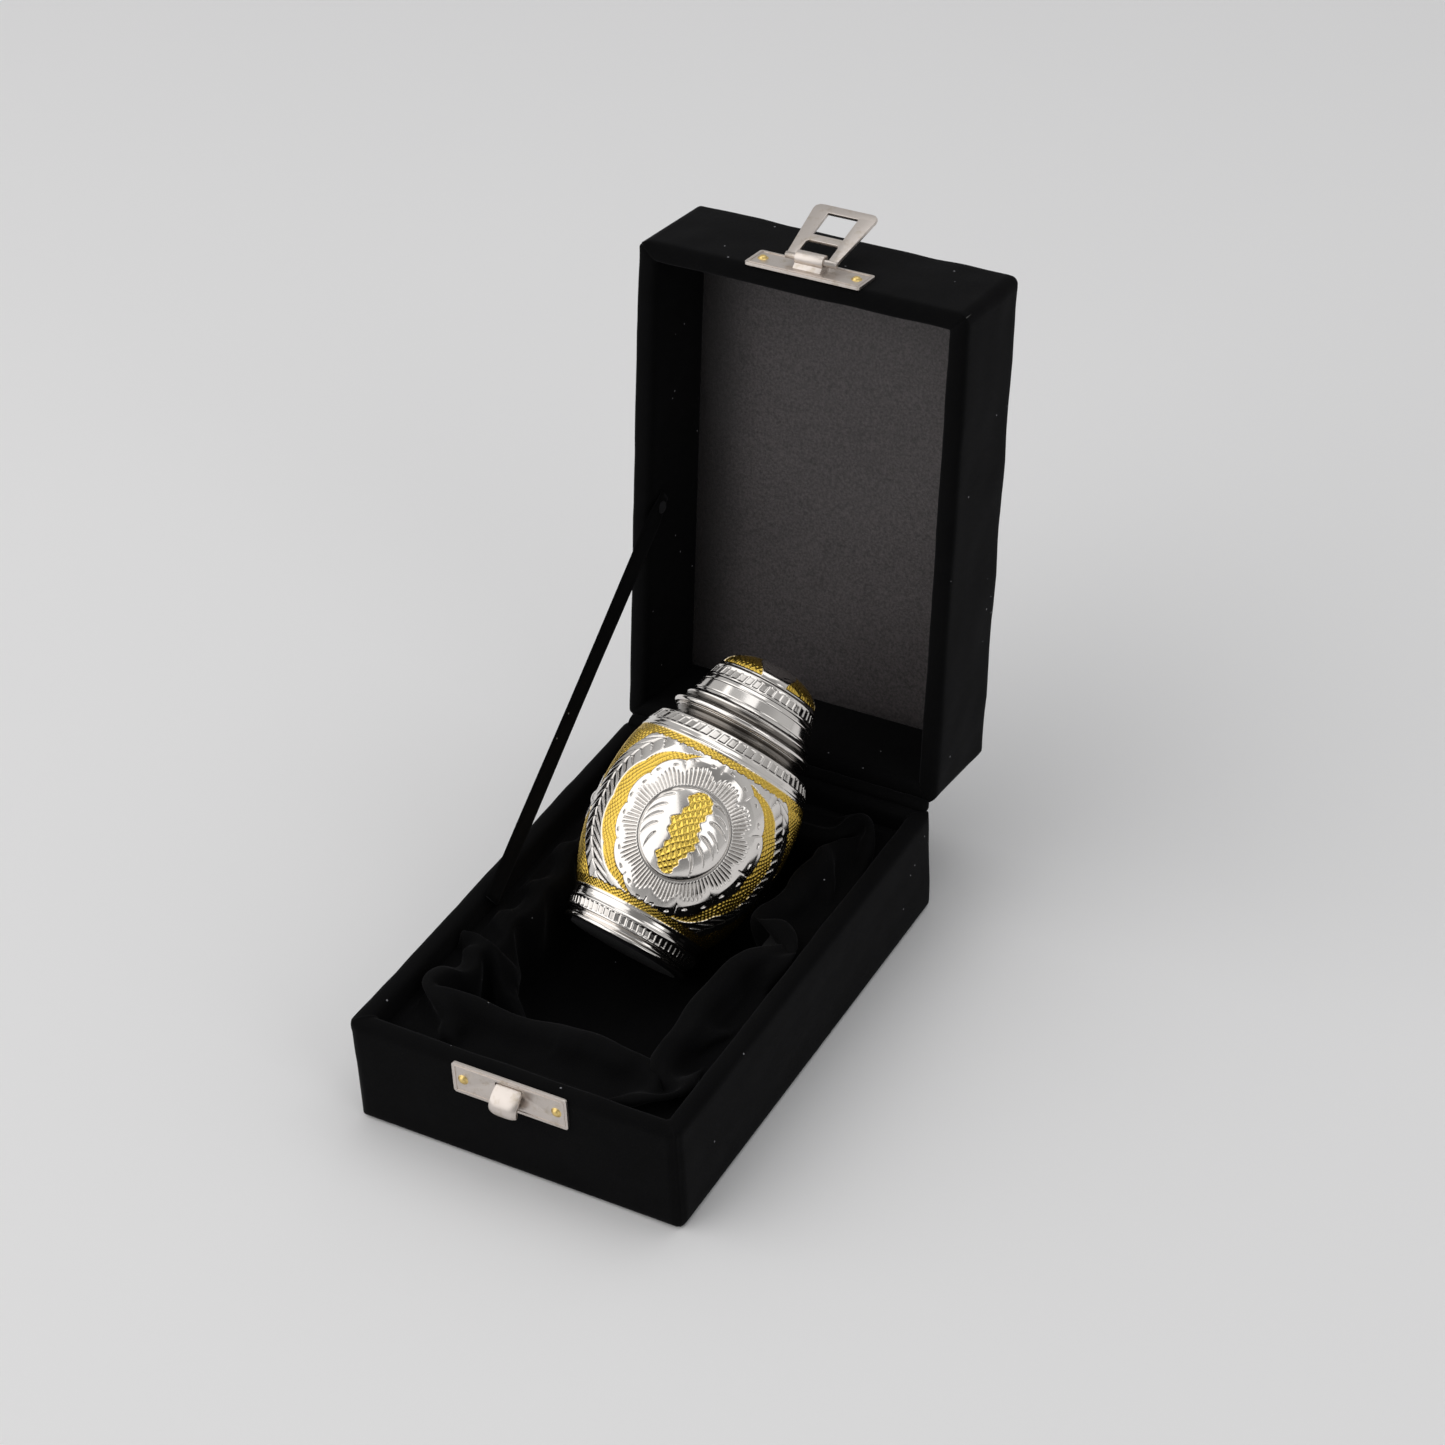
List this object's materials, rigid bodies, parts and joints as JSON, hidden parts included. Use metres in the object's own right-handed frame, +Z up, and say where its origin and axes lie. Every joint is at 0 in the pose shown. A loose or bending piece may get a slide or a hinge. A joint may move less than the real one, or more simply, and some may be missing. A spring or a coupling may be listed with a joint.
{
  "type": "boxed keepsake urn",
  "caption": "Engraved two-tone keepsake urn with a screw cap, lying in its hinged black velvet presentation case.",
  "frame": {"origin": "centre of the underside of the case's tray", "axes": "+X across the case (to the right seen from the clasp side), +Y from the clasp to the hinge, +Z up"},
  "size_m": [0.085, 0.1777, 0.1598],
  "materials": {
    "tray_velvet_cover": "black velvet",
    "tray_underside_sheet": "black leather-grained paper",
    "tray_floor_board": "grey board",
    "tray_front_board": "grey board",
    "tray_rear_board": "grey board",
    "tray_left_board": "grey board",
    "tray_right_board": "grey board",
    "insert_foam_former": "open foam",
    "insert_velvet_lining": "black velvet",
    "keeper_plate_with_hook": "nickel plated sheet",
    "keeper_rivet_left": "bright",
    "keeper_rivet_right": "bright",
    "lid_stay_strap": "black velvet",
    "hinge_cloth_roll": "black velvet",
    "lid_velvet_cover": "black velvet",
    "lid_top_board": "grey board",
    "lid_front_board": "grey board",
    "lid_rear_board": "grey board",
    "lid_left_board": "grey board",
    "lid_right_board": "grey board",
    "lid_panel_card": "thin card",
    "lid_satin_panel": "charcoal satin over thin padding",
    "strap_stud_lid": "black felt",
    "hasp_plate_with_knuckle": "nickel plated sheet",
    "hasp_rivet_left": "bright",
    "hasp_rivet_right": "bright",
    "hasp_loop": "nickel plated sheet",
    "urn_vessel": "bright nickel with engraved and gilt areas",
    "urn_base_disc": "bright",
    "urn_foot_felt": "black felt",
    "urn_cap_threaded_sleeve": "bright",
    "urn_cap": "bright nickel with engraved and gilt areas"
  },
  "bodies": {
    "tray": {"tray_velvet_cover": "tray_velvet_cover", "tray_underside_sheet": "tray_underside_sheet", "tray_floor_board": "tray_floor_board", "tray_front_board": "tray_front_board", "tray_rear_board": "tray_rear_board", "tray_left_board": "tray_left_board", "tray_right_board": "tray_right_board", "insert_foam_former": "insert_foam_former", "insert_velvet_lining": "insert_velvet_lining", "keeper_plate_with_hook": "keeper_plate_with_hook", "keeper_rivet_left": "keeper_rivet_left", "keeper_rivet_right": "keeper_rivet_right", "lid_stay_strap": "lid_stay_strap", "hinge_cloth_roll": "hinge_cloth_roll"},
    "case_lid": {"lid_velvet_cover": "lid_velvet_cover", "lid_top_board": "lid_top_board", "lid_front_board": "lid_front_board", "lid_rear_board": "lid_rear_board", "lid_left_board": "lid_left_board", "lid_right_board": "lid_right_board", "lid_panel_card": "lid_panel_card", "lid_satin_panel": "lid_satin_panel", "strap_stud_lid": "strap_stud_lid", "hasp_plate_with_knuckle": "hasp_plate_with_knuckle", "hasp_rivet_left": "hasp_rivet_left", "hasp_rivet_right": "hasp_rivet_right"},
    "hasp": {"hasp_loop": "hasp_loop"},
    "urn": {"urn_vessel": "urn_vessel", "urn_base_disc": "urn_base_disc", "urn_foot_felt": "urn_foot_felt"},
    "cap_sleeve": {"urn_cap_threaded_sleeve": "urn_cap_threaded_sleeve"},
    "cap": {"urn_cap": "urn_cap"}
  },
  "joints": [
    {"name": "lid_hinge", "type": "hinge", "parent": "tray", "child": "case_lid", "pos_m": [0, 0.0635, 0.0285], "axis": [1, 0, 0], "range_deg": [0, 98], "deforming": ["lid_stay_strap"]},
    {"name": "hasp_pivot", "type": "hinge", "parent": "case_lid", "child": "hasp", "pos_m": [0.0005, 0.08698, 0.15602], "axis": [1, 0, 0], "range_deg": [0, 162]},
    {"name": "lay_down", "type": "hinge", "parent": "tray", "child": "urn", "pos_m": [-0.01661, 0.00126, 0.06701], "axis": [-0.9818, -0.0126, -0.1893], "range_deg": [0, 35.6]},
    {"name": "cap_rise", "type": "slide", "parent": "urn", "child": "cap_sleeve", "axis": [0.1427, 0.7932, 0.592], "range_m": [0, 0.004]},
    {"name": "cap_turn", "type": "hinge", "parent": "cap_sleeve", "child": "cap", "pos_m": [-0.00676, -0.00149, 0.0161], "axis": [0.1427, 0.7932, 0.592], "range_deg": [0, 720]}
  ],
  "couplings": [
    {"joint": "lay_down", "follows": "lid_hinge", "ratio": 0.36329},
    {"joint": "cap_rise", "follows": "cap_turn", "m_per_rad": 0.00031831}
  ]
}
